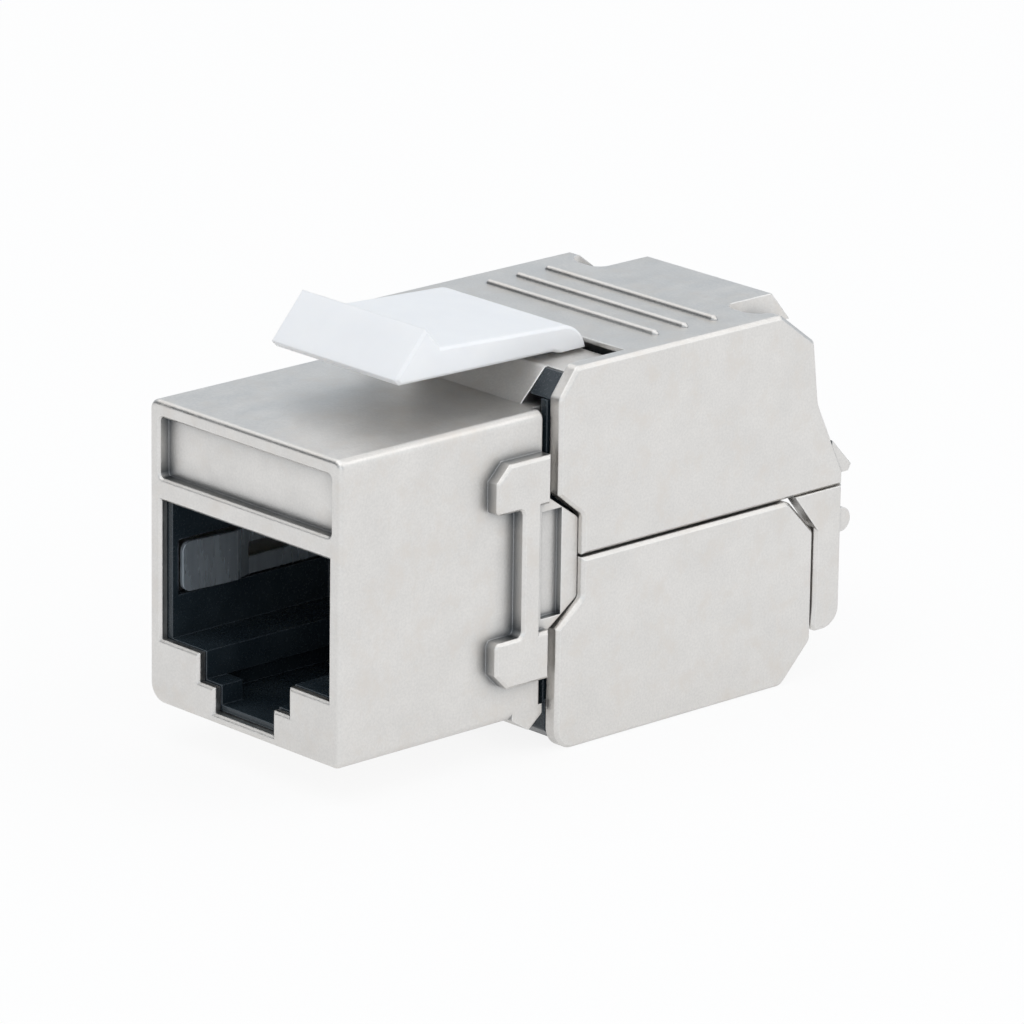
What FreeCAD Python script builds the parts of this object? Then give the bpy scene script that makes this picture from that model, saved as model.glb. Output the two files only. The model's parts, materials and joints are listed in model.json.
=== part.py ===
import FreeCAD, Part
import math
import os
from FreeCAD import Vector

# Shielded tool-less keystone jack.
# Working frame: X across, Y from the port's face to the cable's end, Z up.
# Y = 0 is the shell's front face, Z = 0 the shell's underside and X = 0 the middle plane.
# export() moves everything so that the origin is the middle of the assembly's base.

# ---- Fits ----------------------------------------------------------------------------------------
# part_gap separates pieces that are fitted into each other; cutting shapes reach beyond what they cut.
part_gap = 0.05
beyond = 1.0

# ---- Front shell: one zinc casting ------------------------------------------------------------
shell_width = 14.5
shell_height = 16.0
shell_length = 13.7
shell_side_wall = 0.6
shell_roof = 0.6
shell_floor = 0.53
shell_lip = 0.45
shell_round_top_left = 0.55
shell_round_bottom_left = 1.0
shell_round_right = 0.45
shell_front_round = 0.25
shell_rear_bevel = 0.25
rim_bevel = 0.12

recess_side_margin = 0.75
recess_top_margin = 0.85
recess_depth = 0.65
recess_back_wall = 0.7
recess_corner = 0.25

mouth_side_cover = 0.25
mouth_top = 10.8
mouth_step_half = 3.45
mouth_step_height = 3.4
mouth_notch_half = 2.25
mouth_notch_height = 1.87
shelf_height = 1.15

rib_height = 0.8
rib_front_setback = 3.9
rib_rear_setback = 0.25
rib_low = 2.1
rib_foot = 2.55
rib_foot_chamfer = 0.85
rib_stem_front_setback = 2.1
rib_stem_width = 1.2
rib_inner_round = 0.3
rib_edge_bevel = 0.15

loop_reach = 1.97
loop_low = 4.45
loop_slot_front_setback = 0.5
loop_slot_length = 1.37
loop_slot_inset = 0.72
loop_proud = 0.35
loop_thickness = 0.8
loop_taper_rise = 1.45
loop_taper_setback = 0.1

lug_drop = 0.74
lug_front_setback = 2.03
lug_peak_setback = 0.9
lug_root = 0.5
lug_round = 0.2

# ---- Latch deck: the casting's rear extension ---------------------------------------------------
deck_rise = 1.65
deck_thickness = 1.2
deck_rear_setback = 0.3
deck_wing_reach = 1.6
deck_wing_thickness = 0.3
deck_foot = 0.2
deck_round = 0.3
deck_side_gap = 1.65
deck_wing_side_gap = 0.15
roof_strip_reach = 1.3
roof_strip_side_gap = 0.75

# ---- Plastic port insert ------------------------------------------------------------------------
insert_setback = 1.7
insert_back_wall = 1.0
insert_front_wall = 1.4
port_side_cover = 0.6
port_top = 10.6
port_step_half = 3.4
port_step_height = 3.45
port_notch_half = 2.2
port_notch_height = 1.95
catch_half = 4.0
port_floor = 0.9
comb_front = 2.4
comb_depth = 2.6
comb_width = 0.6
comb_reach = 1.0
tail_slot_below = 0.35
tail_slot_above = 0.65

# ---- Port contacts and side springs -------------------------------------------------------------
contact_count = 8
contact_pitch = 1.02
contact_width = 0.4
contact_thickness = 0.3
contact_root_drop = 3.2
contact_bend_setback = 0.5
contact_crown_y = 4.3
contact_crown_rise = 0.4
contact_tip_y = 3.3
contact_tip_rise = 0.55
contact_tail = 0.1
contact_clearance = 0.1

spring_sheet = 0.22
spring_recess = 0.1
spring_bulge = 0.4
spring_tip_bulge = 0.15
spring_front = 1.05
spring_crown_start = 2.95
spring_crown_length = 0.5
spring_bend_length = 1.05
spring_rear_setback = 1.4
spring_low = 5.82
spring_height = 2.63
spring_corner = 0.5
spring_slot_height = 0.8
spring_slot_end = 0.8
spring_window_margin = 0.15

# ---- Circuit board ------------------------------------------------------------------------------
board_thickness = 1.2
board_side_gap = 0.25
board_margin = 0.9

# ---- Lids: two castings that swing on trunnions ---------------------------------------------------
lid_wall = 0.8
lid_front_gap = 0.3
lid_mid_offset = 0.075
lid_plate_setback = 5.05
plate_bevel = 0.55
lid_split_gap = 0.16
lid_front_chamfer = 1.15
lid_front_chamfer_drop = 1.5
lid_notch_front = 3.55
lid_notch_rear = 2.2
lid_notch_depth = 1.7
lid_edge_bevel = 0.18
lid_corner = 0.4
lid_waist_round = 2.0

upper_top_length = 15.5
upper_shoulder_length = 17.96
upper_shoulder_drop = 1.85
upper_waist_length = 18.37
upper_waist_rise = 4.77
upper_flare_length = 20.25
upper_flare_rise = 0.75

lower_length = 18.17
lower_rear_bottom_chamfer = 2.05
lower_rear_top_chamfer_y = 1.85
lower_rear_top_chamfer_z = 1.95
lower_front_round = 1.2
lower_rear_round = 0.6

tongue_side_gap = 2.6
tongue_setback = 14.45
tongue_wall = 0.6
tongue_depth = 1.6
tongue_lip = 1.3
corner_cut_depth = 1.1
corner_cut_inner_round = 0.8
corner_cut_outer_round = 1.2

grip_rib_setback = 8.2
grip_rib_pitch = 2.08
grip_rib_count = 3
grip_rib_side_gap = 1.85
grip_rib_radius = 0.22

trunnion_setback = 2.5
trunnion_drop = 1.65
trunnion_radius = 0.55
trunnion_clearance = 0.05
trunnion_length = 1.3

fin_low = 0.75
fin_high = 2.6
fin_thickness = 0.35
fin_inset = 0.1

# ---- Terminal block, terminals and wire manager ---------------------------------------------------
block_length = 7.8
block_side_gap = 0.25
ear_side_gap = 0.2
ear_rise = 0.45
ear_wall = 0.2
ear_rear_gap = 0.1
sill_corner_rise = 0.9
sill_corner_length = 1.15
sill_rear_gap = 0.4
sill_rear_bevel = 0.35
neck_side_gap = 0.15
terminal_pitch = 3.0
terminal_columns = 4
terminal_setback = 6.3
terminal_sheet = 0.4
terminal_width = 2.2
terminal_shoulder = 0.5
terminal_leg_width = 0.5
terminal_leg_depth = 3.5
terminal_cover = 1.125
terminal_slot = 0.35
terminal_slot_depth = 2.0
terminal_slot_lead = 0.7
wire_slot = 1.3
wire_slot_setback = 5.0
wire_slot_depth = 2.6

manager_drop = 0.275
manager_length = 9.1
manager_side_gap = 0.45
manager_chamfer = 1.2
manager_groove_depth = 2.75
manager_window_margin = 0.4
cable_bore_radius = 3.9
cable_bore_length = 3.9
chamber_length = 4.2
chamber_side_wall = 1.6
chamber_half_height = 3.4
peg_side_wall = 1.5
peg_radius = 0.8
peg_length = 2.0

pad_side_gap = 0.95
pad_front_gap = 0.35
pad_length = 8.6
pad_thickness = 0.85
pad_tooth_width = 0.9
pad_tooth_length = 2.0
pad_tooth_drop = 1.0
pad_tooth_inset = 0.1

# ---- Locking yoke behind the lids -----------------------------------------------------------------
cable_arch_radius = 4.15
yoke_front_gap = 0.16
yoke_wedge_gap = 0.45
yoke_seat_gap = 0.03
yoke_leg_width = 1.4
yoke_leg_low = 2.45
yoke_leg_toe = 0.12
yoke_leg_toe_rise = 1.4
yoke_leg_round = 1.1
yoke_inner_leg_rise = 0.3
yoke_bar_rise = 4.85
yoke_nub_radius = 0.65
yoke_nub_drop = 1.85
yoke_nub_width = 1.0

# ---- Snap latch -----------------------------------------------------------------------------------
latch_side_gap = 0.85
latch_overhang = 0.1
latch_length = 13.03
latch_root_length = 2.0
latch_root_gap = 0.17
latch_lever_lift = 0.27
latch_tip_lift = 0.48
latch_tip_face = 0.32
latch_rear_height = 1.43
latch_front_height = 1.95
latch_rear_round = 1.75
latch_edge_bevel = 0.15
tab_run = 2.05
tab_rise = 2.3
tab_back = 0.95
latch_peg_half_width = 2.9
latch_peg_setback = 0.9
latch_peg_thickness = 0.5
latch_peg_depth = 1.0
latch_peg_clearance = 0.2

# ---- Derived places ---------------------------------------------------------------------------------
half_width = shell_width / 2
inner_half = half_width - shell_side_wall
inner_top = shell_height - shell_roof
mouth_half_width = inner_half - mouth_side_cover
recess_half_width = half_width - recess_side_margin
recess_low = mouth_top + shelf_height
recess_high = shell_height - recess_top_margin
rib_front = shell_length - rib_front_setback
rib_rear = shell_length - rib_rear_setback
rib_stem_front = shell_length - rib_stem_front_setback
loop_rear = shell_length + loop_reach

port_half_width = inner_half - port_side_cover
contact_root = port_top - contact_root_drop
insert_rear = shell_length - insert_setback
spring_plane = port_half_width + spring_recess
spring_rear = insert_rear - spring_rear_setback
spring_tail_front = spring_front + spring_crown_start + spring_crown_length + spring_bend_length
board_front = insert_rear + part_gap
board_rear = board_front + board_thickness
contact_xs = [(i - (contact_count - 1) / 2) * contact_pitch for i in range(contact_count)]

deck_top = shell_height + deck_rise
deck_under = deck_top - deck_thickness
lid_mid = shell_height / 2 + lid_mid_offset
block_half_height = deck_under - part_gap - lid_mid
manager_half_height = block_half_height - manager_drop
lid_half_width = half_width + rib_height
lid_inner_half = lid_half_width - lid_wall
lid_half_height = block_half_height + 2 * part_gap + pad_thickness + lid_wall
lid_top = lid_mid + lid_half_height
lid_bottom = lid_mid - lid_half_height
lid_front = shell_length + lid_front_gap
lid_plate_front = lid_front + lid_plate_setback
upper_rear_top = lid_front + upper_top_length
upper_rear_shoulder = lid_front + upper_shoulder_length
upper_rear_waist = lid_front + upper_waist_length
upper_rear_flare = lid_front + upper_flare_length
lower_rear = lid_front + lower_length
rear_wall_front = lower_rear - lid_wall
tongue_half_width = lid_inner_half - tongue_side_gap
tongue_front = lid_front + tongue_setback
trunnion_y = lid_front + trunnion_setback
trunnion_z = lid_top - trunnion_drop

deck_half_width = lid_inner_half - deck_side_gap
deck_rear = lid_plate_front - deck_rear_setback
deck_wing_half_width = lid_inner_half - deck_wing_side_gap
deck_wing_front = shell_length + deck_wing_reach
ramp_foot = deck_wing_front - deck_wing_thickness / 2 - deck_rise
roof_strip_half = lid_inner_half - roof_strip_side_gap
roof_strip_rear = shell_length + roof_strip_reach

block_rear = lid_front + block_length
block_half_width = lid_inner_half - block_side_gap
ear_low = shell_height + ear_rise
ear_top = trunnion_z + trunnion_radius + trunnion_clearance + ear_wall
ear_side = lid_inner_half - ear_side_gap
terminal_y = lid_front + terminal_setback
terminal_top = lid_mid + block_half_height - terminal_cover
terminal_leg_z = terminal_top - terminal_leg_depth
terminal_xs = [(i - (terminal_columns - 1) / 2) * terminal_pitch for i in range(terminal_columns)]

manager_half_width = lid_inner_half - manager_side_gap
manager_rear = block_rear + manager_length
bore_front = manager_rear - cable_bore_length
chamber_front = bore_front - chamber_length
chamber_half_width = manager_half_width - chamber_side_wall
peg_x = manager_half_width - peg_side_wall

yoke_front = lower_rear + yoke_front_gap
yoke_foot = lid_bottom + yoke_leg_low
rear_end = upper_rear_flare + yoke_nub_radius

latch_half_width = deck_half_width - latch_side_gap
latch_rear = deck_rear + latch_overhang
latch_tip = latch_rear - latch_length
latch_root_front = latch_rear - latch_root_length
latch_peg_y = latch_rear - latch_peg_setback

origin = Vector(0, rear_end / 2, lid_bottom)


# ---- Shape helpers ------------------------------------------------------------------------------------
def box(low, high):
    """A box from its lowest to its highest corner."""
    size = [b - a for a, b in zip(low, high)]
    return Part.makeBox(size[0], size[1], size[2], Vector(*low))


def rounded_wire(points, to_space):
    """A closed wire through (a, b) or (a, b, radius) corners, placed in space by to_space."""
    corners = [(Vector(p[0], p[1], 0), p[2] if len(p) > 2 else 0) for p in points]
    stops = []
    for i, (here, radius) in enumerate(corners):
        back = (corners[i - 1][0] - here).normalize()
        ahead = (corners[(i + 1) % len(corners)][0] - here).normalize()
        if radius:
            half = back.getAngle(ahead) / 2
            reach = radius / math.tan(half)
            middle = here + (back + ahead).normalize() * (radius / math.sin(half) - radius)
            stops.append((here + back * reach, middle, here + ahead * reach))
        else:
            stops.append((here, None, here))
    edges = []
    for i, (start, middle, end) in enumerate(stops):
        if middle is not None:
            edges.append(Part.Arc(to_space(start), to_space(middle), to_space(end)).toShape())
        following = stops[(i + 1) % len(stops)][0]
        if end.distanceToPoint(following) > 1e-6:
            edges.append(Part.LineSegment(to_space(end), to_space(following)).toShape())
    return Part.Wire(edges)


def along_x(points, x0, x1):
    """A prism along X from a (Y, Z) outline."""
    wire = rounded_wire(points, lambda p: Vector(x0, p.x, p.y))
    return Part.Face(wire).extrude(Vector(x1 - x0, 0, 0))


def along_y(points, y0, y1):
    """A prism along Y from an (X, Z) outline."""
    wire = rounded_wire(points, lambda p: Vector(p.x, y0, p.y))
    return Part.Face(wire).extrude(Vector(0, y1 - y0, 0))


def along_z(points, z0, z1):
    """A prism along Z from an (X, Y) outline."""
    wire = rounded_wire(points, lambda p: Vector(p.x, p.y, z0))
    return Part.Face(wire).extrude(Vector(0, 0, z1 - z0))


def ribbon(points, thickness):
    """The outline of a bent strip of even thickness about a centre line."""
    path = [Vector(p[0], p[1], 0) for p in points]
    sides = ([], [])
    for i, here in enumerate(path):
        before = (here - path[i - 1]).normalize() if i else (path[1] - here).normalize()
        after = (path[i + 1] - here).normalize() if i + 1 < len(path) else before
        normal = (Vector(-before.y, before.x, 0) + Vector(-after.y, after.x, 0)).normalize()
        reach = thickness / 2 / normal.dot(Vector(-after.y, after.x, 0))
        sides[0].append(here + normal * reach)
        sides[1].append(here - normal * reach)
    return [(p.x, p.y) for p in sides[0] + sides[1][::-1]]


def rod_x(y, z, radius, x0, x1):
    """A round rod along X."""
    return Part.makeCylinder(radius, x1 - x0, Vector(x0, y, z), Vector(1, 0, 0))


def rod_y(x, z, radius, y0, y1):
    """A round rod along Y."""
    return Part.makeCylinder(radius, y1 - y0, Vector(x, y0, z), Vector(0, 1, 0))


def mirrored(shape):
    """The shape's copy on the other side of the middle plane."""
    return shape.mirror(Vector(0, 0, 0), Vector(1, 0, 0))


def flipped(shape):
    """The shape's copy below the lids' middle height."""
    return shape.mirror(Vector(0, 0, lid_mid), Vector(0, 0, 1))


def both_sides(*shapes):
    """The shapes and their mirror copies."""
    return list(shapes) + [mirrored(s) for s in shapes]


def round_edges(shape, radius, chosen):
    """Fillet the edges for which chosen(bounding box) is true."""
    return shape.makeFillet(radius, [e for e in shape.Edges if chosen(e.BoundBox)])


def bevel_edges(shape, width, chosen):
    """Chamfer the edges for which chosen(bounding box) is true."""
    return shape.makeChamfer(width, [e for e in shape.Edges if chosen(e.BoundBox)])


def on_plane_x(x):
    """Chooses edges that lie in the planes X = x and X = -x."""
    return lambda b: b.XLength < 1e-6 and abs(abs(b.XMin) - x) < 1e-6


# ---- Pieces ---------------------------------------------------------------------------------------
def stepped_port(half, top, steps, floor):
    """The outline of a plug opening: a wide slot, then the (half width, height) steps to its floor."""
    right = [(half, top)]
    for step_half, height in steps:
        right += [(half, height), (step_half, height)]
        half = step_half
    right.append((half, floor))
    return right + [(-x, z) for x, z in reversed(right)]


def side_rib():
    """The raised I on the shell's side, with a large chamfer on the front corners of its feet."""
    high = shell_height - rib_low
    upper = high - rib_foot
    lower = rib_low + rib_foot
    stem_rear = rib_stem_front + rib_stem_width
    outline = [
        (rib_front, high - rib_foot_chamfer), (rib_front + rib_foot_chamfer, high), (rib_rear, high),
        (rib_rear, upper), (stem_rear, upper), (stem_rear, lower), (rib_rear, lower),
        (rib_rear, rib_low), (rib_front + rib_foot_chamfer, rib_low),
        (rib_front, rib_low + rib_foot_chamfer), (rib_front, lower, rib_inner_round),
        (rib_stem_front, lower, rib_inner_round), (rib_stem_front, upper, rib_inner_round),
        (rib_front, upper, rib_inner_round)]
    rib = along_x(outline, half_width - shell_side_wall / 2, half_width + rib_height)
    return bevel_edges(rib, rib_edge_bevel, on_plane_x(half_width + rib_height))


def side_loop():
    """The framed window that reaches back from the shell's side into the lids' notch."""
    high = shell_height - loop_low
    outer = half_width + loop_proud
    taper_start = shell_length - loop_taper_setback
    outline = [
        (rib_stem_front, loop_low), (taper_start, loop_low),
        (loop_rear, loop_low + loop_taper_rise, rib_inner_round),
        (loop_rear, high - loop_taper_rise, rib_inner_round), (taper_start, high), (rib_stem_front, high)]
    loop = along_x(outline, outer - loop_thickness, outer)
    slot_front = shell_length - loop_slot_front_setback
    slot = box((half_width, slot_front, loop_low + loop_slot_inset),
               (outer + beyond, slot_front + loop_slot_length, high - loop_slot_inset))
    return loop.cut(slot)


def latch_deck():
    """The ramp and deck behind the shell's roof that carry the snap latch."""
    outline = [
        (ramp_foot - deck_foot, inner_top), (ramp_foot - deck_foot, shell_height - deck_foot / 2),
        (ramp_foot, shell_height), (ramp_foot + deck_rise, deck_top, deck_round),
        (deck_rear, deck_top), (deck_rear, deck_under), (ramp_foot + deck_top - inner_top, deck_under),
        (ramp_foot + deck_thickness, inner_top)]
    deck = along_x(outline, -deck_half_width, deck_half_width)
    wings = box((-deck_wing_half_width, deck_wing_front, deck_top - deck_wing_thickness),
                (deck_wing_half_width, deck_rear, deck_top))
    strip = box((-roof_strip_half, shell_length - shell_roof, inner_top),
                (roof_strip_half, roof_strip_rear, shell_height))
    return deck.multiFuse([wings, strip])


def latch_slot(low, high):
    """The opening for the latch's peg."""
    half = latch_peg_thickness / 2 + latch_peg_clearance
    side = latch_peg_half_width + latch_peg_clearance
    return box((-side, latch_peg_y - half, low), (side, latch_peg_y + half, high))


def snap_lug():
    """The fixed lug under the shell that hooks behind the panel."""
    return along_x([
        (shell_length - lug_front_setback, lug_root), (shell_length - lug_front_setback, 0),
        (shell_length - lug_peak_setback, -lug_drop, lug_round), (shell_length, 0),
        (shell_length, lug_root)], -half_width, half_width)


def front_shell():
    outer = along_y([
        (-half_width, 0, shell_round_bottom_left), (half_width, 0, shell_round_right),
        (half_width, shell_height, shell_round_right),
        (-half_width, shell_height, shell_round_top_left)], 0, shell_length)
    outer = round_edges(outer, shell_front_round, lambda b: b.YMax < 1e-6)
    outer = bevel_edges(outer, shell_rear_bevel, lambda b: b.YMin > shell_length - 1e-6)
    shell = outer.multiFuse([snap_lug(), latch_deck()] + both_sides(side_rib(), side_loop()))
    front_wall = recess_depth + recess_back_wall
    shelf = (mouth_top + recess_low) / 2
    recess = along_y([
        (-recess_half_width, recess_low, recess_corner), (recess_half_width, recess_low, recess_corner),
        (recess_half_width, recess_high, recess_corner), (-recess_half_width, recess_high, recess_corner)],
        -beyond, recess_depth)
    mouth = along_y(stepped_port(
        mouth_half_width, mouth_top,
        [(mouth_step_half, mouth_step_height), (mouth_notch_half, mouth_notch_height)],
        shell_floor), -beyond, shell_lip + part_gap)
    shell = shell.cut([
        recess, mouth,
        box((-inner_half, shell_lip, shell_floor), (inner_half, shell_length + beyond, shelf)),
        box((-inner_half, front_wall, shelf - part_gap), (inner_half, shell_length, inner_top)),
        latch_slot(inner_top, deck_top + beyond)])
    return bevel_edges(shell, rim_bevel, lambda b: (
        b.YMax < 1e-6 and b.XMin > -half_width + rib_inner_round and b.XMax < half_width - rib_inner_round
        and b.ZMin > shell_floor - 1e-6 and b.ZMax < recess_high + 1e-6))


def spring_outline(sheet):
    """A side spring from above: a bowed front end and a straight tail, for the right-hand side."""
    crown = spring_front + spring_crown_start
    return ribbon([
        (spring_plane - spring_tip_bulge, spring_front - sheet), (spring_plane - spring_bulge, crown),
        (spring_plane - spring_bulge, crown + spring_crown_length),
        (spring_plane, spring_tail_front), (spring_plane, spring_rear)], sheet)


def shield_spring():
    """A side spring: a sheet with round front corners, slotted from its bend to near its rear."""
    high = spring_low + spring_height
    inside = spring_plane - 2 * spring_bulge
    outside = spring_plane + spring_bulge
    side = along_x([
        (spring_front, spring_low, spring_corner), (spring_rear, spring_low),
        (spring_rear, high), (spring_front, high, spring_corner)], inside, outside)
    slot_low = spring_low + (spring_height - spring_slot_height) / 2
    slot = box((inside, spring_tail_front, slot_low),
               (outside, spring_rear - spring_slot_end, slot_low + spring_slot_height))
    return along_z(spring_outline(spring_sheet), spring_low, high).common(side).cut(slot)


def port_insert():
    """The plastic liner: a stepped front wall that a plug hooks behind, and combs for the contacts."""
    shelf = (mouth_top + recess_low) / 2
    front_wall = recess_depth + recess_back_wall
    front = shell_lip + part_gap
    half = inner_half - part_gap
    body = box((-half, front, shell_floor + part_gap), (half, insert_rear, shelf - part_gap))
    upper = box((-half, front_wall + part_gap, shelf - shell_roof),
                (half, insert_rear, inner_top - part_gap))
    back = insert_rear - insert_back_wall
    catch = front + insert_front_wall
    cuts = [
        along_y(stepped_port(
            port_half_width, port_top,
            [(port_step_half, port_step_height), (port_notch_half, port_notch_height)],
            port_floor), 0, catch + part_gap),
        along_y(stepped_port(
            port_half_width, port_top,
            [(port_step_half, port_step_height), (catch_half, port_notch_height)],
            port_floor), catch, back)]
    for x in contact_xs:
        left = x - comb_width / 2
        right = x + comb_width / 2
        cuts.append(box((left, comb_front, port_top - comb_reach), (right, back, port_top + comb_depth)))
        cuts.append(box((left, back - part_gap, contact_root - tail_slot_below),
                        (right, insert_rear + beyond, contact_root + tail_slot_above)))
    window = box((port_half_width - spring_bulge, spring_front - spring_window_margin,
                  spring_low - spring_window_margin),
                 (inner_half + beyond, spring_rear + spring_window_margin,
                  spring_low + spring_height + spring_window_margin))
    return body.fuse(upper).cut(cuts + both_sides(window)).removeSplitter()


def contact(x):
    """One port contact: a strip that slopes from its tail in the board up to a comb slot."""
    outline = ribbon([
        (board_rear + contact_tail, contact_root), (insert_rear - contact_bend_setback, contact_root),
        (contact_crown_y, port_top + contact_crown_rise),
        (contact_tip_y, port_top + contact_tip_rise)], contact_thickness)
    return along_x(outline, x - contact_width / 2, x + contact_width / 2)


def square_hole(x, z, half):
    """A square hole through the circuit board."""
    return box((x - half, board_front - beyond, z - half), (x + half, board_rear + beyond, z + half))


def circuit_board():
    side = inner_half - board_side_gap
    board = box((-side, board_front, board_margin), (side, board_rear, shell_height - board_margin))
    contact_hole = max(contact_width, contact_thickness) / 2 + contact_clearance
    leg_hole = max(terminal_leg_width, terminal_sheet) / 2 + part_gap
    holes = [square_hole(x, contact_root, contact_hole) for x in contact_xs]
    for x in terminal_xs:
        upper = square_hole(x, terminal_leg_z, leg_hole)
        holes += [upper, flipped(upper)]
    return board.cut(holes)


def terminal(x):
    """An upper insulation-displacement terminal: a forked blade on a long leg into the board."""
    low = terminal_leg_z - terminal_sheet / 2
    shoulder = terminal_top - terminal_shoulder
    lead = terminal_top - terminal_slot_lead
    slot_low = terminal_top - terminal_slot_depth
    half = terminal_width / 2
    right = [
        (half, low), (half, shoulder), (half - terminal_shoulder, terminal_top),
        (terminal_shoulder, terminal_top), (terminal_slot / 2, lead), (terminal_slot / 2, slot_low)]
    outline = [(x + a, z) for a, z in right] + [(x - a, z) for a, z in reversed(right)]
    blade = along_y(outline, terminal_y - terminal_sheet / 2, terminal_y + terminal_sheet / 2)
    leg = box((x - terminal_leg_width / 2, board_front, low),
              (x + terminal_leg_width / 2, terminal_y, low + terminal_sheet))
    return blade.fuse(leg).removeSplitter()


def terminal_pocket(x):
    """What the block leaves open for one upper terminal and for the wire pressed into it."""
    reach = terminal_sheet / 2 + part_gap
    side = terminal_width / 2 + part_gap
    leg = terminal_leg_width / 2 + part_gap
    pocket = box((x - side, terminal_y - reach, terminal_leg_z - reach),
                 (x + side, terminal_y + reach, terminal_top + terminal_sheet / 2))
    channel = box((x - leg, board_rear, terminal_leg_z - reach),
                  (x + leg, terminal_y, terminal_leg_z + reach))
    slot = box((x - wire_slot / 2, lid_front + wire_slot_setback, terminal_top - wire_slot_depth),
               (x + wire_slot / 2, block_rear + beyond, lid_top))
    return [pocket, channel, slot]


def ear():
    """An upper ear: a slope in line with the lid's front chamfer, and the trunnion's socket behind."""
    slope_top = deck_top - part_gap
    outline = [
        (lid_front + 2 * part_gap, ear_low), (lid_front + lid_front_chamfer - part_gap, slope_top),
        (deck_wing_front - part_gap, slope_top), (deck_wing_front - part_gap, ear_top),
        (deck_rear - ear_rear_gap, ear_top), (deck_rear - ear_rear_gap, inner_top),
        (roof_strip_rear + part_gap, inner_top), (roof_strip_rear + part_gap, ear_low)]
    return along_x(outline, deck_half_width + part_gap, ear_side)


def block_sill():
    """The block's foot ahead of the lower lid's plate, in line with the lid's front corner."""
    front = lid_front + 2 * part_gap
    low = lid_bottom + part_gap
    top = lid_mid - block_half_height + lid_wall
    rear = lid_plate_front - sill_rear_gap
    return along_x([
        (front, top), (front, lid_bottom + sill_corner_rise, rib_inner_round),
        (front + sill_corner_length, low, rib_inner_round), (rear - sill_rear_bevel, low),
        (rear, lid_bottom + lid_wall), (rear, top)], -ear_side, ear_side)


def terminal_block():
    body = box((-block_half_width, lid_front, lid_mid - block_half_height),
               (block_half_width, block_rear, lid_mid + block_half_height))
    neck_side = inner_half - neck_side_gap
    neck = box((-neck_side, board_rear + contact_tail + contact_clearance, board_margin),
               (neck_side, lid_front + beyond, shell_height - board_margin))
    block = body.multiFuse([neck, block_sill()] + both_sides(ear()))
    socket = rod_x(trunnion_y, trunnion_z, trunnion_radius + trunnion_clearance,
                   lid_inner_half - trunnion_length - 2 * part_gap, lid_inner_half)
    loop_gap = lid_notch_depth - loop_reach + 2 * lid_front_gap
    loop_pocket = box(
        (half_width + loop_proud - loop_thickness - 3 * part_gap, lid_front - beyond, loop_low - loop_gap),
        (half_width + beyond, loop_rear + loop_gap, shell_height - loop_low + loop_gap))
    strip_side = roof_strip_half + part_gap
    roof_pocket = box((-strip_side, lid_front - beyond, inner_top - part_gap),
                      (strip_side, roof_strip_rear + part_gap, ear_low))
    under_ramp = along_x([
        (lid_front - beyond, inner_top - part_gap),
        (ramp_foot + deck_thickness + part_gap, inner_top - part_gap),
        (ramp_foot + deck_top - inner_top + part_gap, deck_under), (lid_front - beyond, deck_under)],
        -deck_half_width - part_gap, deck_half_width + part_gap)
    peg_hole_low = deck_top - latch_peg_depth - 2 * latch_peg_clearance
    cuts = both_sides(socket, flipped(socket), loop_pocket)
    cuts += [latch_slot(peg_hole_low, deck_top), under_ramp, roof_pocket]
    for x in terminal_xs:
        for shape in terminal_pocket(x):
            cuts += [shape, flipped(shape)]
    for x in (-peg_x, peg_x):
        cuts.append(rod_y(x, lid_mid, peg_radius + part_gap, block_rear - peg_length - 2 * part_gap,
                          block_rear + beyond))
    return block.cut(cuts)


def wire_manager():
    """The plug-in cap that takes the cable in its bore and fans the wires out to the slots."""
    h = manager_half_height
    body = along_x([
        (block_rear, lid_mid - h), (manager_rear, lid_mid - h + manager_chamfer),
        (manager_rear, lid_mid + h - manager_chamfer), (block_rear, lid_mid + h)],
        -manager_half_width, manager_half_width)
    pegs = [rod_y(x, lid_mid, peg_radius, block_rear - peg_length, block_rear + peg_radius / 2)
            for x in (-peg_x, peg_x)]
    cuts = [
        rod_y(0, lid_mid, cable_bore_radius, bore_front - 2 * part_gap, manager_rear + beyond),
        box((-chamber_half_width, chamber_front, lid_mid - chamber_half_height),
            (chamber_half_width, bore_front, lid_mid + chamber_half_height))]
    for x in terminal_xs:
        left = x - wire_slot / 2
        right = x + wire_slot / 2
        groove = box((left, block_rear - beyond, lid_mid + h - manager_groove_depth),
                     (right, bore_front, lid_top))
        window = box((left, chamber_front + manager_window_margin, lid_mid),
                     (right, bore_front - manager_window_margin, lid_top))
        cuts += [groove, window, flipped(groove), flipped(window)]
    return body.multiFuse(pegs).cut(cuts)


def trunnions(z):
    return both_sides(rod_x(trunnion_y, z, trunnion_radius, lid_inner_half - trunnion_length,
                            lid_inner_half + lid_wall / 2))


def cable_way(y0):
    """The round way for the cable through the rear walls."""
    return rod_y(0, lid_mid, cable_arch_radius, y0, rear_end + beyond)


def corner_cut():
    """The cut-out beside the upper lid's rear tongue."""
    return along_z([
        (tongue_half_width, rear_end), (tongue_half_width, tongue_front, corner_cut_inner_round),
        (lid_inner_half, tongue_front, corner_cut_outer_round), (lid_inner_half, rear_end)],
        lid_top - corner_cut_depth, lid_top + beyond)


def grip_rib(index):
    """One raised rib across the upper lid, with tapered ends."""
    y = lid_front + grip_rib_setback + index * grip_rib_pitch
    half = lid_half_width - grip_rib_side_gap
    tip = Part.makeCone(grip_rib_radius, part_gap, grip_rib_radius, Vector(half, y, lid_top),
                        Vector(1, 0, 0))
    return rod_x(y, lid_top, grip_rib_radius, -half, half).multiFuse(both_sides(tip))


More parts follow.
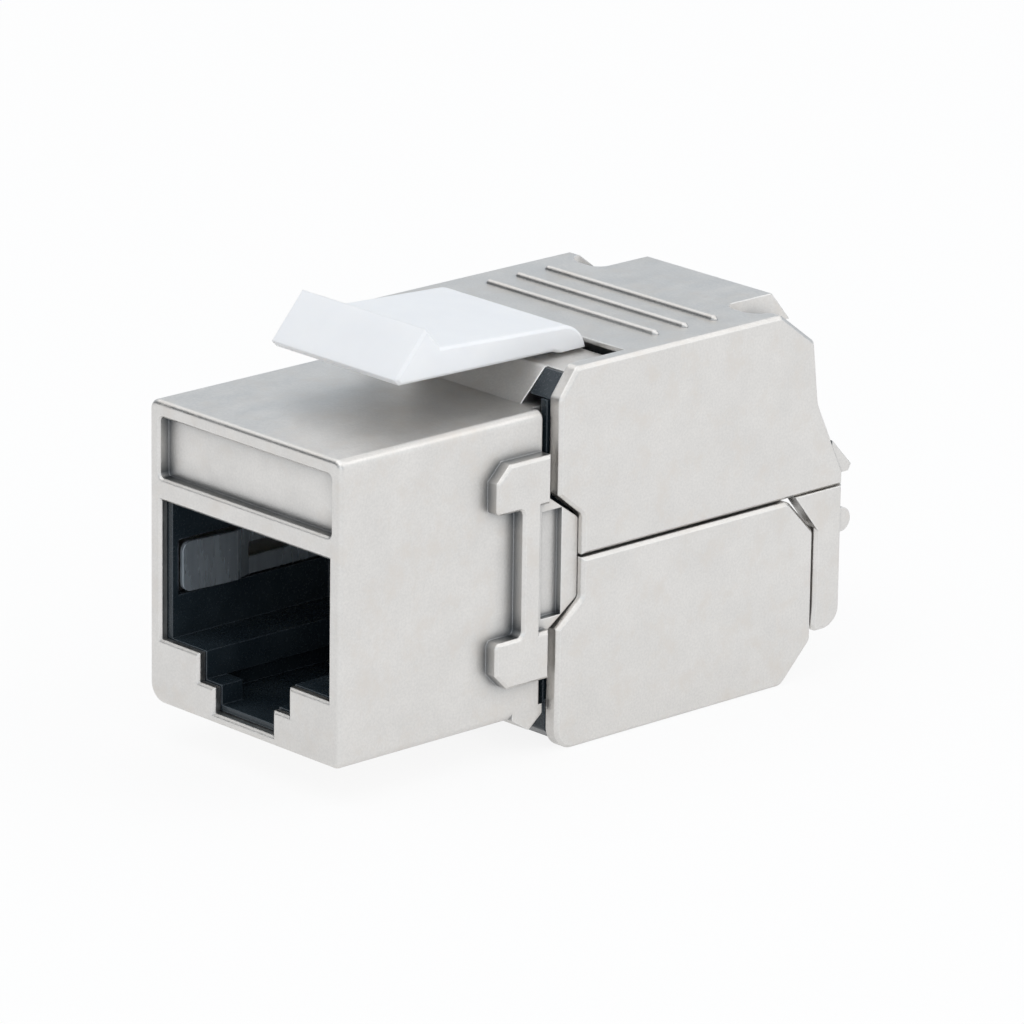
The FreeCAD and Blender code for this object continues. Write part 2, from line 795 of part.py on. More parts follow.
def tongue():
    """The square tongue between the corner cut-outs, with side walls and a sloping rear lip."""
    low = lid_top - tongue_depth
    rear = lower_rear - 3 * part_gap
    inner = tongue_half_width - tongue_wall
    whole = along_x([
        (tongue_front, low), (rear + tongue_lip, low), (rear + tongue_lip, low + part_gap),
        (rear, lid_top), (tongue_front, lid_top)], -tongue_half_width, tongue_half_width)
    inside = box((-inner, tongue_front - beyond, low - beyond),
                 (inner, rear_wall_front, lid_top - lid_wall))
    return whole.cut(inside)


def side_fin():
    """A small fin behind the upper lid's side, above the yoke."""
    front = upper_rear_flare - lid_wall
    low = lid_mid + fin_low
    reach = yoke_nub_radius - part_gap
    return along_x([
        (front, low), (upper_rear_flare + reach - fin_thickness / 2, low),
        (upper_rear_flare + reach, low + fin_thickness), (front, lid_mid + fin_high)],
        lid_inner_half, lid_half_width - fin_inset)


def upper_lid():
    low = lid_mid + lid_split_gap / 2
    notch_rear = lid_front + lid_notch_depth
    outline = [
        (lid_front, lid_mid + lid_notch_front), (notch_rear, lid_mid + lid_notch_rear, lid_corner),
        (notch_rear, low), (upper_rear_flare, low),
        (upper_rear_flare, low + upper_flare_rise, lid_corner),
        (upper_rear_waist, lid_mid + upper_waist_rise, lid_waist_round),
        (upper_rear_shoulder, lid_top - upper_shoulder_drop, lid_corner),
        (upper_rear_top, lid_top, lid_corner),
        (lid_front + lid_front_chamfer, lid_top, lid_corner),
        (lid_front, lid_top - lid_front_chamfer_drop, lid_corner)]
    body = along_x(outline, -lid_half_width, lid_half_width)
    body = bevel_edges(body, lid_edge_bevel, on_plane_x(lid_half_width))
    under = lid_top - lid_wall
    hollow = along_x([
        (lid_front - beyond, lid_bottom), (rear_wall_front, lid_bottom),
        (rear_wall_front, lid_top - upper_shoulder_drop),
        (upper_rear_top - lid_wall / 2, under), (lid_front - beyond, under)],
        -lid_inner_half, lid_inner_half)
    latch_bay = box((-lid_inner_half, lid_front - beyond, lid_bottom),
                    (lid_inner_half, lid_plate_front, lid_top + beyond))
    bevel_rear = lid_plate_front + plate_bevel
    front_bevel = along_x([
        (lid_plate_front - beyond, under - beyond), (bevel_rear, under - beyond), (bevel_rear, under),
        (lid_plate_front, under + plate_bevel), (lid_plate_front - beyond, under + plate_bevel)],
        -lid_inner_half, lid_inner_half)
    yoke_bay = box((-lid_inner_half, lower_rear, lid_bottom),
                   (lid_inner_half, rear_end, lid_mid + yoke_bar_rise + 2 * part_gap))
    body = body.cut([hollow, latch_bay, front_bevel, yoke_bay] + both_sides(corner_cut()))
    body = body.fuse(tongue()).cut(cable_way(rear_wall_front - lid_wall))
    ribs = [grip_rib(i) for i in range(grip_rib_count)]
    return body.multiFuse(trunnions(trunnion_z) + ribs + both_sides(side_fin()))


def lower_lid():
    high = lid_mid - lid_split_gap / 2
    notch_rear = lid_front + lid_notch_depth
    bottom_rear = lower_rear - lower_rear_bottom_chamfer
    outline = [
        (lid_front, lid_mid - lid_notch_front), (notch_rear, lid_mid - lid_notch_rear, lid_corner),
        (notch_rear, high), (lower_rear - lower_rear_top_chamfer_y, high, lower_rear_round),
        (lower_rear, high - lower_rear_top_chamfer_z, lid_corner),
        (lower_rear, lid_bottom + lower_rear_bottom_chamfer, lower_rear_round),
        (bottom_rear, lid_bottom, lower_rear_round),
        (lid_front, lid_bottom, lower_front_round)]
    body = along_x(outline, -lid_half_width, lid_half_width)
    body = bevel_edges(body, lid_edge_bevel, on_plane_x(lid_half_width))
    over = lid_bottom + lid_wall
    hollow = along_x([
        (lid_front - beyond, over), (bottom_rear - lid_wall / 2, over),
        (rear_wall_front, over + lower_rear_bottom_chamfer - lid_wall / 2), (rear_wall_front, lid_top),
        (lid_front - beyond, lid_top)], -lid_inner_half, lid_inner_half)
    sill_bay = box((-lid_inner_half, lid_front - beyond, lid_bottom - beyond),
                   (lid_inner_half, lid_plate_front, lid_top))
    body = body.cut([hollow, sill_bay, cable_way(rear_wall_front - lid_wall)])
    return body.multiFuse(trunnions(2 * lid_mid - trunnion_z))


def press_pad():
    """The upper lid's pad: teeth that push the wires down into the terminals."""
    high = lid_top - lid_wall
    low = high - pad_thickness
    front = lid_plate_front + pad_front_gap
    side = lid_inner_half - pad_side_gap
    pad = box((-side, front, low), (side, front + pad_length, high))
    tooth_front = front + pad_tooth_inset
    teeth = [box((x - pad_tooth_width / 2, tooth_front, low - pad_tooth_drop),
                 (x + pad_tooth_width / 2, tooth_front + pad_tooth_length, low + part_gap))
             for x in terminal_xs]
    return pad.multiFuse(teeth)


def locking_yoke():
    """The arch behind the lids: its legs hang from the upper lid and close behind the lower one."""
    low = lid_mid + lid_split_gap / 2
    seat = low - yoke_seat_gap
    wedge_front = lower_rear - lower_rear_top_chamfer_y + yoke_wedge_gap
    wedge_low = seat - lower_rear_top_chamfer_z
    leg = along_x([
        (wedge_front, seat), (yoke_front, wedge_low),
        (yoke_front, yoke_foot + yoke_leg_toe_rise, lid_corner),
        (yoke_front - yoke_leg_toe, yoke_foot, lid_corner),
        (upper_rear_flare, yoke_foot, yoke_leg_round), (upper_rear_flare, seat)],
        lid_inner_half, lid_half_width)
    leg = bevel_edges(leg, lid_edge_bevel, lambda b: (
        b.XLength < 1e-6 and abs(b.XMin - lid_half_width) < 1e-6 and b.ZMin < wedge_low - beyond))
    inner_low = yoke_foot + yoke_inner_leg_rise
    inner_leg = along_x([
        (yoke_front, seat), (yoke_front, inner_low, lid_corner),
        (upper_rear_flare, inner_low, yoke_leg_round),
        (upper_rear_flare, seat)], lid_half_width - yoke_leg_width, lid_inner_half)
    bar_top = lid_mid + yoke_bar_rise
    bar_front = lower_rear + part_gap
    bar_rear = upper_rear_flare - 2 * part_gap
    bar_side = lid_inner_half - part_gap
    bar = along_x([
        (bar_front, seat), (bar_rear, seat), (bar_rear, low + upper_flare_rise),
        (upper_rear_waist, bar_top), (bar_front, bar_top)], -bar_side, bar_side)
    nub_side = lid_half_width - fin_inset
    nub = rod_x(upper_rear_flare, lid_mid - yoke_nub_drop, yoke_nub_radius,
                nub_side - yoke_nub_width, nub_side)
    yoke = bar.multiFuse(both_sides(leg, inner_leg, nub))
    return yoke.cut(cable_way(bar_front - lid_wall)).removeSplitter()


def latch():
    """The sprung snap lever: a flat arm with a sloping finger tab, on a peg in the deck."""
    root_under = deck_top + latch_root_gap
    sunk = root_under - latch_rear_round
    tip_under = deck_top + latch_tip_lift
    tip_top = tip_under + latch_tip_face
    lever = along_x([
        (latch_tip + latch_tip_face, tip_under),
        (latch_root_front - latch_lever_lift, deck_top + latch_lever_lift),
        (latch_root_front, root_under), (latch_root_front, sunk), (latch_rear, sunk),
        (latch_rear, deck_top + latch_rear_height, latch_rear_round),
        (latch_tip + tab_run + tab_back, deck_top + latch_front_height),
        (latch_tip + tab_run, tip_top + tab_rise), (latch_tip, tip_top)],
        -latch_half_width, latch_half_width)
    lever = bevel_edges(lever, latch_edge_bevel, on_plane_x(latch_half_width))
    lever = lever.cut(box((-half_width, latch_root_front - beyond, sunk - beyond),
                          (half_width, latch_rear + beyond, root_under)))
    peg_front = latch_peg_y - latch_peg_thickness / 2
    peg = box((-latch_peg_half_width, peg_front, deck_top - latch_peg_depth),
              (latch_peg_half_width, peg_front + latch_peg_thickness, root_under + latch_edge_bevel))
    return lever.fuse(peg)


# ---- Assembly -------------------------------------------------------------------------------------
def pieces():
    yield "front_shell", front_shell()
    yield "port_insert", port_insert()
    for number, x in enumerate(contact_xs, 1):
        yield "contact_%d" % number, contact(x)
    yield "shield_spring_right", shield_spring()
    yield "shield_spring_left", mirrored(shield_spring())
    yield "circuit_board", circuit_board()
    yield "terminal_block", terminal_block()
    for number, x in enumerate(terminal_xs, 1):
        yield "idc_terminal_%d" % number, terminal(x)
        yield "idc_terminal_%d" % (number + terminal_columns), flipped(terminal(x))
    yield "wire_manager", wire_manager()
    yield "upper_lid", upper_lid()
    yield "upper_press_pad", press_pad()
    yield "locking_yoke", locking_yoke()
    yield "lower_lid", lower_lid()
    yield "lower_press_pad", flipped(press_pad())
    yield "latch", latch()


def export():
    os.makedirs("parts", exist_ok=True)
    for name, shape in pieces():
        placed = shape.translated(origin * -1)
        placed.exportStep("parts/%s.step" % name)
        state = (name, len(placed.Solids), placed.isValid(), placed.Volume)
        print("%-22s solids %d  valid %s  volume %.2f" % state)


export()
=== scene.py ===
import json
import math

import bpy
from mathutils import Matrix, Vector


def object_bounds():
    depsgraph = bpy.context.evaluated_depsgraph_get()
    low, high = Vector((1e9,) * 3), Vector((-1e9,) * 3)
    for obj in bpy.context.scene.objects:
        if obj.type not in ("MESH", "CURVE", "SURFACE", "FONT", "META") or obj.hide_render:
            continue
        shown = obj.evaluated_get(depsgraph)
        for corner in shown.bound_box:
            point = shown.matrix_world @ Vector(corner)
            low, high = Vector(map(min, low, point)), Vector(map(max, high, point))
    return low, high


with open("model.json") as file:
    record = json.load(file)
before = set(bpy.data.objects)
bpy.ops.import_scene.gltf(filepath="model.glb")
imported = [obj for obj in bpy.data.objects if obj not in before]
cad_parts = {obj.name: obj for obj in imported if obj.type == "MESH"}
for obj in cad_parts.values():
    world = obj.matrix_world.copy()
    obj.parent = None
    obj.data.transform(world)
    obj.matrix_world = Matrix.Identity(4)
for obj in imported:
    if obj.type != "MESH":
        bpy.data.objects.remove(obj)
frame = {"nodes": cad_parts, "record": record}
cad_low, cad_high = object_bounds()

MM = 0.001

# ---- Camera: the angle from which the jack shows its port, right side and top ------------------
CAMERA_AZIMUTH = 47.04
CAMERA_ELEVATION = 17.53
CAMERA_ROLL = 0.797
CAMERA_DISTANCE = 0.3768
CAMERA_LENS = 264.2
CAMERA_SENSOR = 36
CAMERA_CLIP = 0.01
CAMERA_AIM = Vector((6.58, -5.36, 12.83)) * MM

# ---- Floor -------------------------------------------------------------------------------------
FLOOR_SIZE = 6.0
FLOOR_COLOUR = (0.92, 0.92, 0.92)
# The share of plain white that the camera and the metal see instead of the lit floor.
FLOOR_GLOW = 0.88
FLOOR_GLOW_IN_METAL = 0.53

# ---- Lamps: azimuth and elevation in degrees, distance and size in metres, power in watts ------
KEY_AZIMUTH = 130
LAMPS = {
    "key": (KEY_AZIMUTH, 22, 0.7, 0.7, 1.2),
    "fill": (0, 80, 0.8, 1.1, 2.6),
    "front": (45, 10, 0.5, 0.35, 0.22),
}

# ---- World -------------------------------------------------------------------------------------
SKY_LEVEL = 0.68
SKY_COLOUR = (0.93, 0.96, 1.0)
HAZE_COLOUR = (0.47, 0.53, 0.59)
# What polished faces mirror, by height from the horizon, 0, to straight overhead, 1.
REFLECTED_SKY = (
    (0.00, (0.80, 0.83, 0.86)),
    (0.22, HAZE_COLOUR),
    (0.38, HAZE_COLOUR),
    (0.52, (1.0, 1.0, 1.0)),
    (0.82, (1.0, 1.0, 1.0)),
    (0.95, (0.50, 0.53, 0.57)),
)
# Dark flags in the mirrored sky, as azimuth and the share of light that they let through.
FLAGS = ((-47, 0.12), (KEY_AZIMUTH, 0.35))
# The cosines of the angles at which a flag begins and at which it is darkest.
FLAG_OUTER, FLAG_INNER = 0.65, 0.95

# ---- Colours -----------------------------------------------------------------------------------
ZINC_PALE = (0.80, 0.782, 0.757)
ZINC_DEEP = (0.70, 0.686, 0.666)
ZINC_STAIN = (0.73, 0.695, 0.655)
# Painted highlight along the zinc's edges.
ZINC_EDGE_HIGHLIGHT = (0.97, 0.965, 0.95)
# Painted shade laid into the zinc's corners and slots.
ZINC_PAINTED_SHADE = (0.20, 0.21, 0.22)
BLACK_PALE = (0.027, 0.038, 0.047)
BLACK_DEEP = (0.015, 0.023, 0.030)
# Painted glint along the black moulding's edges.
BLACK_EDGE_GLINT = (0.095, 0.115, 0.135)
WHITE_PALE = (0.90, 0.91, 0.92)
WHITE_DEEP = (0.88, 0.89, 0.905)
STEEL_PALE = (0.60, 0.67, 0.74)
STEEL_DEEP = (0.46, 0.52, 0.58)
GOLD_PALE = (0.90, 0.72, 0.36)
GOLD_DEEP = (0.76, 0.56, 0.24)
TIN_PALE = (0.80, 0.79, 0.77)
TIN_DEEP = (0.62, 0.61, 0.60)
BOARD_PALE = (0.050, 0.22, 0.11)
BOARD_DEEP = (0.022, 0.12, 0.06)

# ---- Finishes: sizes and depths in metres ------------------------------------------------------
ZINC_GRAIN = 0.13 * MM
ZINC_CLOUDS = 2.2 * MM
ZINC_STAINS = 1.6 * MM
ZINC_FLOW = 0.9 * MM
ZINC_FLOW_STRETCH = (1, 0.35, 1)
ZINC_GRAIN_IN_TONE = 0.65
ZINC_STAIN_STRENGTH = 0.8
# Width of the painted edge highlight.
ZINC_EDGE_HIGHLIGHT_WIDTH = 0.14 * MM
# Reach of the painted corner shade.
ZINC_PAINTED_SHADE_REACH = 1.3 * MM
ZINC_ROUGHNESS = (0.30, 0.42)
ZINC_RELIEF = 0.010 * MM
ZINC_FLOW_IN_RELIEF = 0.4
ZINC_EDGE = 0.10 * MM

PLASTIC_CLOUDS = 2.5 * MM
PLASTIC_GRAIN = 0.12 * MM
PLASTIC_RELIEF = 0.003 * MM
PLASTIC_EDGE = 0.10 * MM
PLASTIC_ROUGHNESS_SPREAD = 0.06
BLACK_ROUGHNESS = 0.24
WHITE_ROUGHNESS = 0.34
WHITE_SCATTER = 0.35
WHITE_SCATTER_DEPTH = 0.8 * MM
WHITE_SCATTER_COLOUR = (1.0, 0.95, 0.9)
WHITE_IOR = 1.5

METAL_RELIEF = 0.0015 * MM
METAL_EDGE = 0.04 * MM
METAL_SMOOTHER, METAL_ROUGHER = 0.05, 0.07

BOARD_TRACK_PITCH = 1.6 * MM
BOARD_TRACK_EDGE = (0.04, 0.08)
BOARD_WEAVE = 0.25 * MM
BOARD_WEAVE_IN_RELIEF = 0.2
BOARD_ROUGHNESS = (0.25, 0.40)
BOARD_RELIEF = 0.02 * MM

# The part of a noise's range that holds nearly all of it, wide and narrow.
NOISE_WIDE = (0.3, 0.7)
NOISE_NARROW = (0.35, 0.65)


class Paint:
    """A node material that is built up around one Principled shader."""

    def __init__(self, name):
        self.material = bpy.data.materials.new(name)
        self.material.use_nodes = True
        self.tree = self.material.node_tree
        self.shader = self.tree.nodes["Principled BSDF"]
        self.place = self.node("ShaderNodeTexCoord").outputs["Object"]

    def node(self, kind, **settings):
        node = self.tree.nodes.new(kind)
        for key, value in settings.items():
            setattr(node, key, value)
        return node

    def link(self, source, target):
        self.tree.links.new(source, target)

    def noise(self, size, detail=3.0, roughness=0.5, stretch=(1, 1, 1)):
        """Noise with features of about the given size in metres."""
        mapping = self.node("ShaderNodeMapping")
        mapping.inputs["Scale"].default_value = stretch
        self.link(self.place, mapping.inputs["Vector"])
        noise = self.node("ShaderNodeTexNoise")
        noise.inputs["Scale"].default_value = 1 / size
        noise.inputs["Detail"].default_value = detail
        noise.inputs["Roughness"].default_value = roughness
        self.link(mapping.outputs["Vector"], noise.inputs["Vector"])
        return noise.outputs["Fac"]

    def spread(self, value, span, to=(0.0, 1.0)):
        """Value stretched from the span's two ends to those of to, and held there outside."""
        node = self.node("ShaderNodeMapRange")
        node.inputs["From Min"].default_value, node.inputs["From Max"].default_value = span
        node.inputs["To Min"].default_value, node.inputs["To Max"].default_value = to
        self.link(value, node.inputs["Value"])
        return node.outputs["Result"]

    def mix(self, factor, first, second):
        """Colour between first and second; each is a colour or a socket."""
        node = self.node("ShaderNodeMix", data_type="RGBA")
        self.link(factor, node.inputs["Factor"])
        for value, socket in ((first, node.inputs[6]), (second, node.inputs[7])):
            if isinstance(value, tuple):
                socket.default_value = (*value, 1)
            else:
                self.link(value, socket)
        return node.outputs[2]

    def math(self, operation, first, second):
        """First and second joined by a Math node; each is a number or a socket."""
        node = self.node("ShaderNodeMath", operation=operation)
        for value, socket in zip((first, second), node.inputs):
            if isinstance(value, (int, float)):
                socket.default_value = value
            else:
                self.link(value, socket)
        return node.outputs[0]

    def bevel(self, radius):
        """The surface's normal, turned smoothly over its edges within radius."""
        bevel = self.node("ShaderNodeBevel", samples=6)
        bevel.inputs["Radius"].default_value = radius
        return bevel.outputs["Normal"]

    def bump(self, height, depth, edge=None):
        """Relief of the given depth; edge softens the shape's own edges by that radius."""
        node = self.node("ShaderNodeBump")
        node.inputs["Strength"].default_value = 1.0
        node.inputs["Distance"].default_value = depth
        self.link(height, node.inputs["Height"])
        if edge:
            self.link(self.bevel(edge), node.inputs["Normal"])
        self.link(node.outputs["Normal"], self.shader.inputs["Normal"])

    def edges(self, radius):
        """1 along a piece's edges, falling to 0 on its faces beyond radius."""
        turn = self.node("ShaderNodeVectorMath", operation="DOT_PRODUCT")
        self.link(self.bevel(radius), turn.inputs[0])
        self.link(self.node("ShaderNodeNewGeometry").outputs["Normal"], turn.inputs[1])
        return self.spread(turn.outputs["Value"], (0.80, 0.97), (1, 0))

    def corner_shade_free(self, reach):
        """1 on open faces, falling to 0 in a piece's own corners and slots within reach; it masks
        the painted corner shade.
        """
        node = self.node("ShaderNodeAmbientOcclusion", samples=8, only_local=True)
        node.inputs["Distance"].default_value = reach
        return self.spread(node.outputs["AO"], (0.40, 0.94))

    def set(self, **values):
        for key, value in values.items():
            socket = self.shader.inputs[key.replace("_", " ")]
            if isinstance(value, bpy.types.NodeSocket):
                self.link(value, socket)
            else:
                socket.default_value = value


# ---- Materials ---------------------------------------------------------------------------------
def plated_zinc():
    """Satin nickel over a die casting: grain, faint stains, painted shade in its corners and
    slots, and painted highlights along its edges.
    """
    paint = Paint("nickel_plated_zinc")
    grain = paint.noise(ZINC_GRAIN, detail=4, roughness=0.6)
    clouds = paint.noise(ZINC_CLOUDS, detail=5, roughness=0.6)
    flow = paint.noise(ZINC_FLOW, detail=3, stretch=ZINC_FLOW_STRETCH)
    tone = paint.math(
        "ADD",
        paint.spread(clouds, NOISE_NARROW, (0, 1 - ZINC_GRAIN_IN_TONE)),
        paint.spread(grain, NOISE_NARROW, (0, ZINC_GRAIN_IN_TONE)))
    clean = paint.mix(tone, ZINC_DEEP, ZINC_PALE)
    stains = paint.spread(
        paint.noise(ZINC_STAINS, detail=5, roughness=0.65), (0.5, 0.7), (0, ZINC_STAIN_STRENGTH))
    stained = paint.mix(stains, clean, ZINC_STAIN)
    # Painted highlight: a pale colour along the edges, broken up by the grain, stands in for edge
    # glints.
    edge_highlight = paint.math(
        "MULTIPLY", paint.edges(ZINC_EDGE_HIGHLIGHT_WIDTH), paint.spread(grain, (0.3, 0.5), (0.5, 1)))
    highlighted = paint.mix(edge_highlight, stained, ZINC_EDGE_HIGHLIGHT)
    paint.set(
        # Painted shade: the base colour darkens in the casting's own corners, slots and recesses.
        Base_Color=paint.mix(paint.corner_shade_free(ZINC_PAINTED_SHADE_REACH), ZINC_PAINTED_SHADE, highlighted),
        Metallic=1.0,
        Roughness=paint.spread(paint.math("ADD", flow, grain), (0.7, 1.3), ZINC_ROUGHNESS))
    relief = paint.math("ADD", grain, paint.math("MULTIPLY", flow, ZINC_FLOW_IN_RELIEF))
    paint.bump(relief, ZINC_RELIEF, edge=ZINC_EDGE)
    return paint.material


def moulded(name, deep, pale, roughness, edge_glint=None):
    """Moulded plastic: a faint mould texture, slow changes of tone and, if given, a painted glint
    along the edges.
    """
    paint = Paint(name)
    clouds = paint.noise(PLASTIC_CLOUDS)
    grain = paint.noise(PLASTIC_GRAIN, detail=3)
    tone = paint.mix(paint.spread(clouds, NOISE_NARROW), deep, pale)
    if edge_glint:
        # Painted highlight: the edges are lightened to stand in for glints on the moulding.
        tone = paint.mix(paint.edges(PLASTIC_EDGE), tone, edge_glint)
    smooth, rough = roughness - PLASTIC_ROUGHNESS_SPREAD, roughness + PLASTIC_ROUGHNESS_SPREAD
    paint.set(Base_Color=tone, Roughness=paint.spread(grain, NOISE_WIDE, (smooth, rough)))
    paint.bump(grain, PLASTIC_RELIEF, edge=PLASTIC_EDGE)
    return paint


def black_plastic():
    return moulded(
        "black_plastic", BLACK_DEEP, BLACK_PALE, BLACK_ROUGHNESS, edge_glint=BLACK_EDGE_GLINT).material


def white_plastic():
    """The latch: a milky moulding that lets a little light through."""
    paint = moulded("white_plastic", WHITE_DEEP, WHITE_PALE, WHITE_ROUGHNESS)
    paint.set(
        Subsurface_Weight=WHITE_SCATTER, Subsurface_Scale=WHITE_SCATTER_DEPTH,
        Subsurface_Radius=WHITE_SCATTER_COLOUR, IOR=WHITE_IOR)
    return paint.material


def metal(name, deep, pale, roughness, grain_size, stretch, metallic=1.0):
    """Bare or plated sheet metal with rolling marks."""
    paint = Paint(name)
    rolled = paint.noise(grain_size, detail=4, stretch=stretch)
    paint.set(
        Base_Color=paint.mix(paint.spread(rolled, NOISE_WIDE), deep, pale),
        Metallic=metallic,
        Roughness=paint.spread(
            rolled, NOISE_WIDE, (roughness - METAL_SMOOTHER, roughness + METAL_ROUGHER)))
    paint.bump(rolled, METAL_RELIEF, edge=METAL_EDGE)
    return paint.material


def circuit_board():
    """Green mask with slightly raised tracks and a woven base."""
    paint = Paint("circuit_board")
    tracks = paint.node(
        "ShaderNodeTexVoronoi", feature="DISTANCE_TO_EDGE", distance="MANHATTAN")
    tracks.inputs["Scale"].default_value = 1 / BOARD_TRACK_PITCH
    paint.link(paint.place, tracks.inputs["Vector"])
    copper = paint.spread(tracks.outputs["Distance"], BOARD_TRACK_EDGE, (1, 0))
    weave = paint.noise(BOARD_WEAVE)
    paint.set(
        Base_Color=paint.mix(copper, BOARD_DEEP, BOARD_PALE),
        Roughness=paint.spread(weave, NOISE_WIDE, BOARD_ROUGHNESS))
    woven = paint.math("MULTIPLY", weave, BOARD_WEAVE_IN_RELIEF)
    paint.bump(paint.math("ADD", copper, woven), BOARD_RELIEF)
    return paint.material


def dress():
    """Every CAD node gets the material of its slot."""
    by_slot = {
        "nickel_plated_zinc": plated_zinc(),
        "black_plastic": black_plastic(),
        "white_plastic": white_plastic(),
        "spring_steel": metal(
            "spring_steel", STEEL_DEEP, STEEL_PALE, roughness=0.26,
            grain_size=0.5 * MM, stretch=(0.1, 1, 0.1), metallic=0.7),
        "gold_plated_wire": metal(
            "gold_plated_wire", GOLD_DEEP, GOLD_PALE, roughness=0.2,
            grain_size=0.3 * MM, stretch=(1, 0.2, 1)),
        "tinned_bronze": metal(
            "tinned_bronze", TIN_DEEP, TIN_PALE, roughness=0.3,
            grain_size=0.3 * MM, stretch=(1, 1, 0.2)),
        "circuit_board": circuit_board(),
    }
    for part in frame["record"]["subparts"]:
        materials = frame["nodes"][part["node"]].data.materials
        materials.clear()
        materials.append(by_slot[part["material_slot"]])


# ---- Stage -------------------------------------------------------------------------------------
def math_node(tree, operation, *values):
    """The result of a Math node; each value is a number or a socket."""
    node = tree.nodes.new("ShaderNodeMath")
    node.operation = operation
    for value, socket in zip(values, node.inputs):
        if isinstance(value, (int, float)):
            socket.default_value = value
        else:
            tree.links.new(value, socket)
    return node.outputs[0]


def shader_mix(tree, factor, first, second):
    """First where factor is 0 and second where it is 1."""
    node = tree.nodes.new("ShaderNodeMixShader")
    for source, socket in zip((factor, first.outputs[0], second.outputs[0]), node.inputs):
        tree.links.new(source, socket)
    return node.outputs[0]


def make_floor():
    """A pale floor that keeps the shadow and shows near white to the camera."""
    bpy.ops.mesh.primitive_plane_add(size=FLOOR_SIZE, location=(0, 0, cad_low.z))
    floor = bpy.context.active_object
    floor.name = "floor"
    material = bpy.data.materials.new("floor")
    material.use_nodes = True
    tree = material.node_tree
    tree.nodes.clear()
    matt = tree.nodes.new("ShaderNodeBsdfDiffuse")
    matt.inputs["Color"].default_value = (*FLOOR_COLOUR, 1)
    glow = tree.nodes.new("ShaderNodeEmission")
    path = tree.nodes.new("ShaderNodeLightPath").outputs
    seen = math_node(tree, "MULTIPLY", path["Is Camera Ray"], FLOOR_GLOW)
    share = math_node(tree, "MULTIPLY_ADD", path["Is Glossy Ray"], FLOOR_GLOW_IN_METAL, seen)
    out = tree.nodes.new("ShaderNodeOutputMaterial")
    tree.links.new(shader_mix(tree, share, matt, glow), out.inputs["Surface"])
    floor.data.materials.append(material)


def direction(azimuth, elevation):
    """The unit vector from the object towards a viewer at that azimuth and elevation."""
    a, e = math.radians(azimuth), math.radians(elevation)
    return Vector((math.sin(a) * math.cos(e), -math.cos(a) * math.cos(e), math.sin(e)))


def flagged(tree, ray, colour):
    """Colour with the dark flags: one gives the port's face its own tone, one backs the key."""
    for azimuth, let_through in FLAGS:
        facing = tree.nodes.new("ShaderNodeVectorMath")
        facing.operation = "DOT_PRODUCT"
        tree.links.new(ray, facing.inputs[0])
        facing.inputs[1].default_value = direction(azimuth, 0)
        shade = tree.nodes.new("ShaderNodeMapRange")
        shade.inputs["From Min"].default_value = FLAG_OUTER
        shade.inputs["From Max"].default_value = FLAG_INNER
        shade.inputs["To Min"].default_value = 1.0
        shade.inputs["To Max"].default_value = let_through
        tree.links.new(facing.outputs["Value"], shade.inputs["Value"])
        scaled = tree.nodes.new("ShaderNodeVectorMath")
        scaled.operation = "SCALE"
        tree.links.new(colour, scaled.inputs[0])
        tree.links.new(shade.outputs["Result"], scaled.inputs["Scale"])
        colour = scaled.outputs["Vector"]
    return colour


def reflected_sky(tree):
    """The sky that polished faces mirror."""
    ray = tree.nodes.new("ShaderNodeTexCoord").outputs["Generated"]
    split = tree.nodes.new("ShaderNodeSeparateXYZ")
    tree.links.new(ray, split.inputs[0])
    height = tree.nodes.new("ShaderNodeValToRGB")
    stops = height.color_ramp.elements
    first, *middle, last = REFLECTED_SKY
    for stop, (position, colour) in zip(stops, (first, last)):
        stop.position = position
        stop.color = (*colour, 1)
    for position, colour in middle:
        stops.new(position).color = (*colour, 1)
    tree.links.new(split.outputs["Z"], height.inputs[0])
    return flagged(tree, ray, height.outputs["Color"])


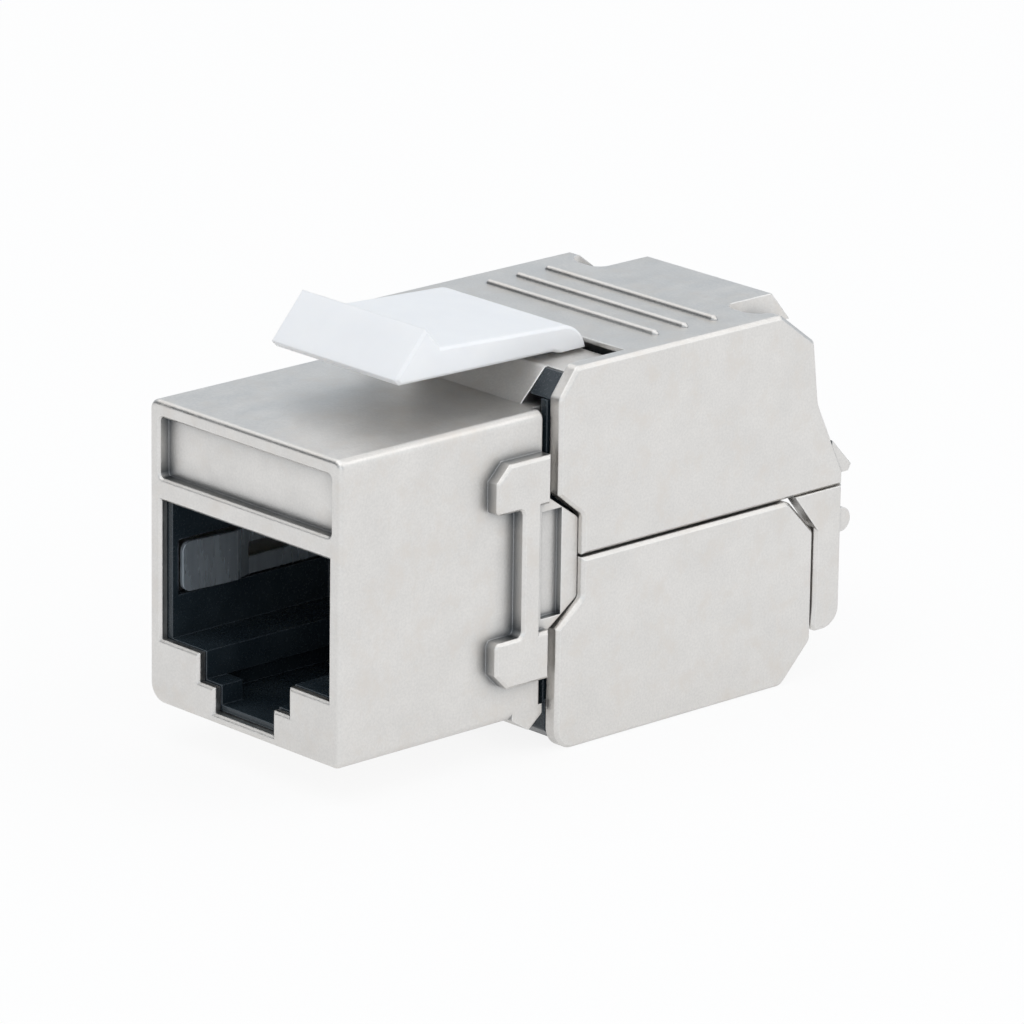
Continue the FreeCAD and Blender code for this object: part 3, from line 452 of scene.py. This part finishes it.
def make_world():
    """White where it is seen, the shaped sky in reflections, and a soft even sky for light."""
    world = bpy.data.worlds.new("studio")
    bpy.context.scene.world = world
    world.use_nodes = True
    tree = world.node_tree
    tree.nodes.clear()
    path = tree.nodes.new("ShaderNodeLightPath").outputs
    shown = tree.nodes.new("ShaderNodeMix")
    shown.data_type = "RGBA"
    tree.links.new(path["Is Glossy Ray"], shown.inputs["Factor"])
    shown.inputs[6].default_value = (1, 1, 1, 1)
    tree.links.new(reflected_sky(tree), shown.inputs[7])
    seen = tree.nodes.new("ShaderNodeBackground")
    tree.links.new(shown.outputs[2], seen.inputs["Color"])
    sky = tree.nodes.new("ShaderNodeBackground")
    sky.inputs["Color"].default_value = (*SKY_COLOUR, 1)
    sky.inputs["Strength"].default_value = SKY_LEVEL
    mirrored = math_node(tree, "MAXIMUM", path["Is Glossy Ray"], path["Is Transmission Ray"])
    direct = math_node(tree, "MAXIMUM", path["Is Camera Ray"], mirrored)
    out = tree.nodes.new("ShaderNodeOutputWorld")
    tree.links.new(shader_mix(tree, direct, sky, seen), out.inputs["Surface"])


def make_lamp(name, azimuth, elevation, distance, size, watts):
    """A square area lamp that faces the object."""
    light = bpy.data.lights.new(name, "AREA")
    light.shape = "SQUARE"
    light.size = size
    light.energy = watts
    holder = bpy.data.objects.new(name, light)
    bpy.context.scene.collection.objects.link(holder)
    away = direction(azimuth, elevation)
    holder.location = away * distance
    holder.rotation_euler = away.to_track_quat("Z", "Y").to_euler()


def make_camera():
    camera = bpy.data.cameras.new("camera")
    camera.lens = CAMERA_LENS
    camera.sensor_width = CAMERA_SENSOR
    camera.clip_start = CAMERA_CLIP
    holder = bpy.data.objects.new("camera", camera)
    bpy.context.scene.collection.objects.link(holder)
    back = direction(CAMERA_AZIMUTH, CAMERA_ELEVATION)
    right = Vector((0, 0, 1)).cross(back).normalized()
    up = back.cross(right)
    roll = math.radians(CAMERA_ROLL)
    x_axis = right * math.cos(roll) + up * math.sin(roll)
    y_axis = up * math.cos(roll) - right * math.sin(roll)
    turn = Matrix((x_axis, y_axis, back)).transposed().to_4x4()
    holder.matrix_world = Matrix.Translation(CAMERA_AIM + back * CAMERA_DISTANCE) @ turn
    bpy.context.scene.camera = holder


def main():
    dress()
    make_floor()
    make_world()
    for name, settings in LAMPS.items():
        make_lamp(name, *settings)
    make_camera()
    bpy.context.scene.view_settings.view_transform = "Standard"


main()
